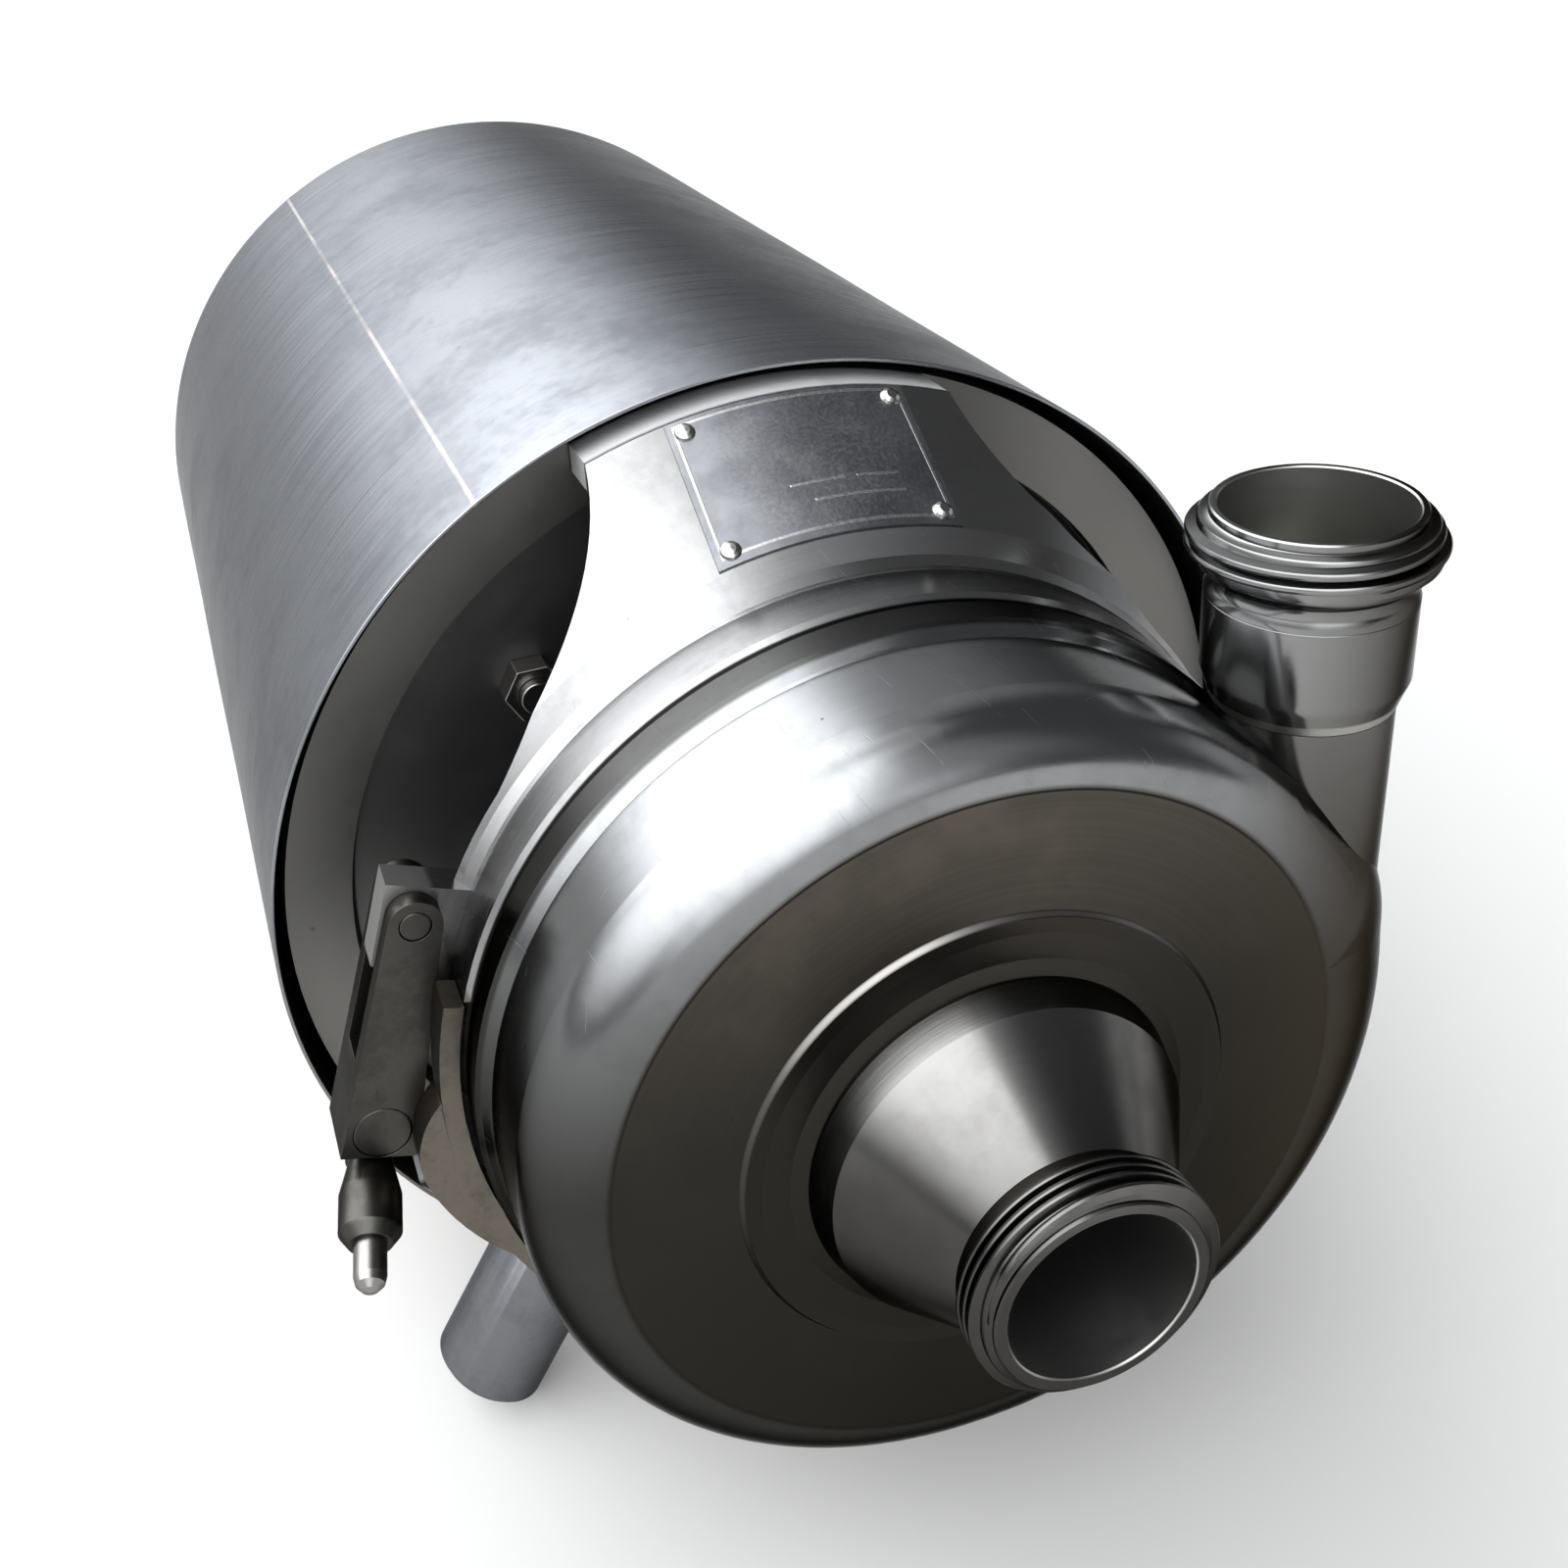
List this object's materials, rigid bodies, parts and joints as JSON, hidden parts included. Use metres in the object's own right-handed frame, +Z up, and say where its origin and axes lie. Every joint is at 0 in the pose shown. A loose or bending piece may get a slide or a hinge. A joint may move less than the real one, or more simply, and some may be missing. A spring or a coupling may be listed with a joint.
{
  "type": "sanitary centrifugal pump",
  "caption": "Close-coupled stainless centrifugal pump: round volute casing with threaded front inlet and upright outlet, windowed adaptor, hinged clamp and shrouded motor",
  "frame": {"origin": "centre of the inlet mouth, on the pump shaft's axis", "axes": "+Y runs back along the shaft to the motor, +Z up along the outlet, +X to the right seen from the inlet"},
  "size_m": [0.3752, 0.724, 0.377],
  "materials": {
    "polished_casing": "bright polished stainless",
    "satin_steel": "fine satin stainless",
    "turned_steel": "turned stainless",
    "adaptor_steel": "ground cast stainless",
    "shroud_steel": "rolled sheet, circumferential brush",
    "clamp_steel": "dark satin stainless",
    "leg_steel": "grey satin tube",
    "plate_metal": "etched plate",
    "seal_rubber": "black nitrile",
    "seal_carbon": "carbon",
    "motor_iron": "painted grey casting",
    "core_iron": "laminated core",
    "shaft_steel": "ground shaft",
    "fan_plastic": "moulded",
    "gland_plastic": "moulded"
  },
  "bodies": {
    "frame": {"back_plate": "satin_steel", "casing_joint_ring": "seal_rubber", "seal_seat": "seal_carbon", "adaptor": "adaptor_steel", "flange_studs": "satin_steel", "flange_nuts": "satin_steel", "nameplate": "plate_metal", "nameplate_rivets": "satin_steel", "lug_pin": "clamp_steel", "strap_hinge_pin": "clamp_steel", "front_leg_left": "leg_steel", "front_leg_right": "leg_steel", "rear_foot": "seal_rubber", "stator_core": "core_iron", "bearing_front": "shaft_steel", "bearing_rear": "shaft_steel", "motor_front_shield": "motor_iron", "motor_rear_shield": "motor_iron", "motor_frame": "motor_iron", "shroud": "shroud_steel", "shroud_brackets": "satin_steel", "shroud_end": "shroud_steel", "cable_gland": "gland_plastic"},
    "pump_casing": {"casing": "polished_casing", "inlet_nozzle": "turned_steel", "inlet_male_end": "turned_steel", "outlet_sleeve": "turned_steel", "outlet_male_end": "turned_steel"},
    "rotor": {"impeller": "satin_steel", "impeller_nut": "satin_steel", "pump_shaft": "shaft_steel", "seal_face": "seal_carbon", "seal_boot": "seal_rubber", "seal_collar": "satin_steel", "slinger": "seal_rubber", "shaft_clamp_ring": "satin_steel", "motor_shaft": "shaft_steel", "rotor_core": "core_iron", "fan": "fan_plastic"},
    "clamp_link": {"clamp_fork": "clamp_steel", "trunnion": "clamp_steel", "clamp_screw": "clamp_steel"},
    "clamp_lever": {"clamp_lever_boss": "clamp_steel", "clamp_lever_rod": "clamp_steel"},
    "strap": {"clamp_strap": "satin_steel"}
  },
  "joints": [
    {"name": "rotor_spin", "type": "hinge", "parent": "frame", "child": "rotor", "pos_m": [0, 0.3, 0], "axis": [0, 1, 0], "continuous": true},
    {"name": "casing_slide", "type": "slide", "parent": "frame", "child": "pump_casing", "axis": [0, -1, 0], "range_m": [0, 0.07]},
    {"name": "link_swing", "type": "hinge", "parent": "frame", "child": "clamp_link", "pos_m": [-0.144, 0.1605, 0.061], "axis": [0, 1, 0], "range_deg": [0, 105]},
    {"name": "lever_turn", "type": "hinge", "parent": "clamp_link", "child": "clamp_lever", "pos_m": [-0.16814, 0.1605, -0.02102], "axis": [-0.2823, 0, -0.9593], "range_deg": [0, 90]},
    {"name": "strap_swing", "type": "hinge", "parent": "frame", "child": "strap", "pos_m": [0.13992, 0.14, -0.05939], "axis": [0, -1, 0], "range_deg": [0, 15]}
  ],
  "couplings": [
    {"joint": "strap_swing", "follows": "link_swing", "ratio": 0.14276}
  ]
}
